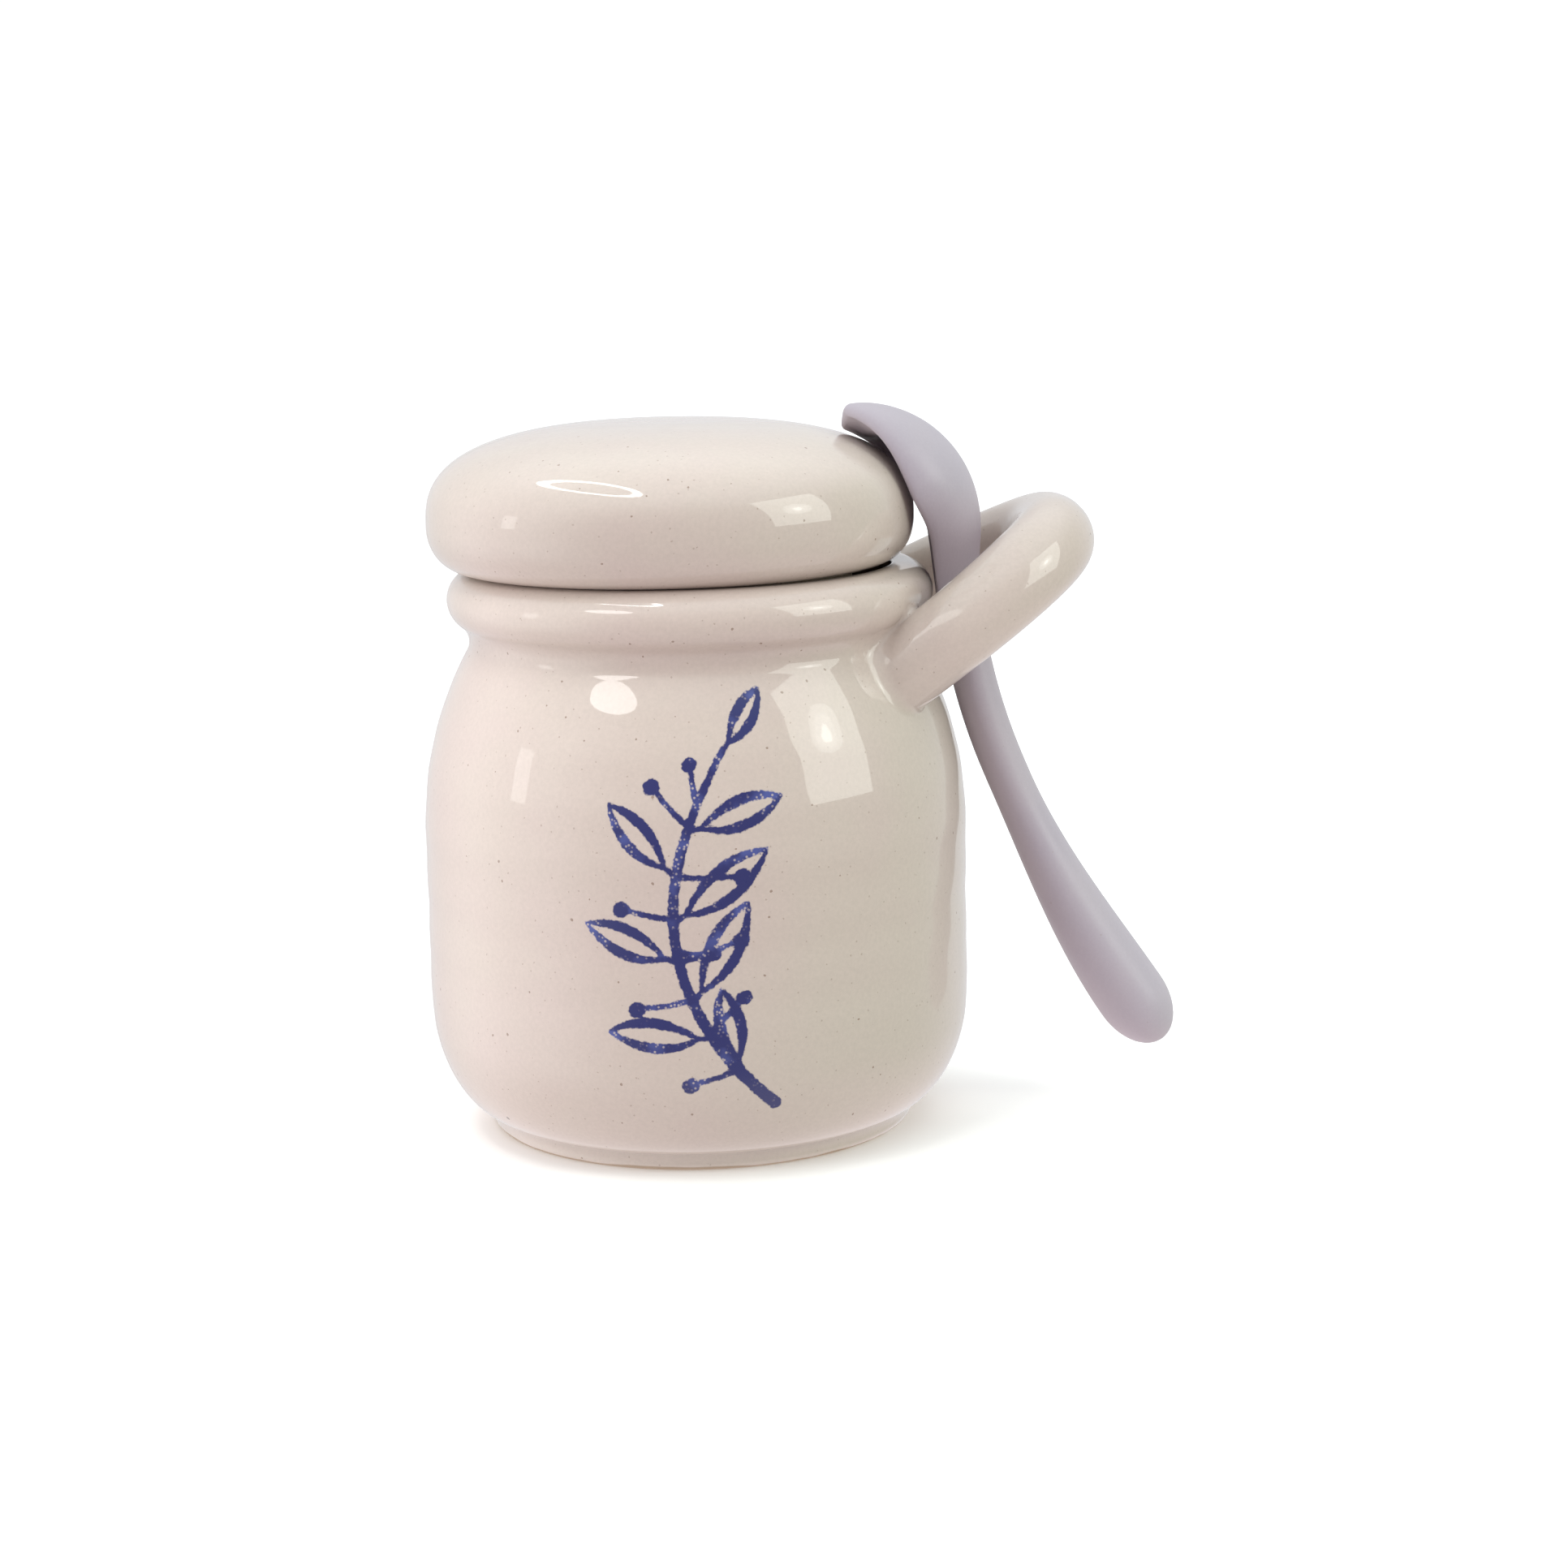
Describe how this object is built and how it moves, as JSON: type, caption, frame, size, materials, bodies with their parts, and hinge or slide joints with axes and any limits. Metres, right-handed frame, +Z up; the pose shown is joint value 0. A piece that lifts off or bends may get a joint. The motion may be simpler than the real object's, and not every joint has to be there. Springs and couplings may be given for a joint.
{
  "type": "jam pot",
  "caption": "Round stoneware jam pot with a bun-shaped lift-off lid, a rolled clay loop on its shoulder and a hooked spoon that stands in the loop.",
  "frame": {"origin": "centre of the flat underside of the foot, on the pot's axis, at table level", "axes": "+Z up along the pot's axis, +X towards the loop and the spoon, the decorated front faces -Y"},
  "size_m": [0.1246, 0.09, 0.1187],
  "materials": {
    "glazed_stoneware": "clear gloss glaze over speckled cream stoneware",
    "bare_stoneware": "unglazed, matte",
    "mauve_porcelain": "smooth, matte"
  },
  "bodies": {
    "pot": {"pot_body": "glazed_stoneware", "spoon_loop": "glazed_stoneware"},
    "lid": {"lid": "glazed_stoneware", "lid_collar": "bare_stoneware"},
    "spoon": {"spoon": "mauve_porcelain"}
  },
  "joints": [
    {"name": "lid_lift", "type": "slide", "parent": "pot", "child": "lid", "axis": [0, 0, 1], "range_m": [0, 0.07]},
    {"name": "spoon_draw", "type": "hinge", "parent": "pot", "child": "spoon", "pos_m": [0.17, 0, 0.0945], "axis": [0, 1, 0], "range_deg": [0, 43]}
  ],
  "couplings": [
    {"joint": "spoon_draw", "follows": "lid_lift", "rad_per_m": 10.7}
  ]
}
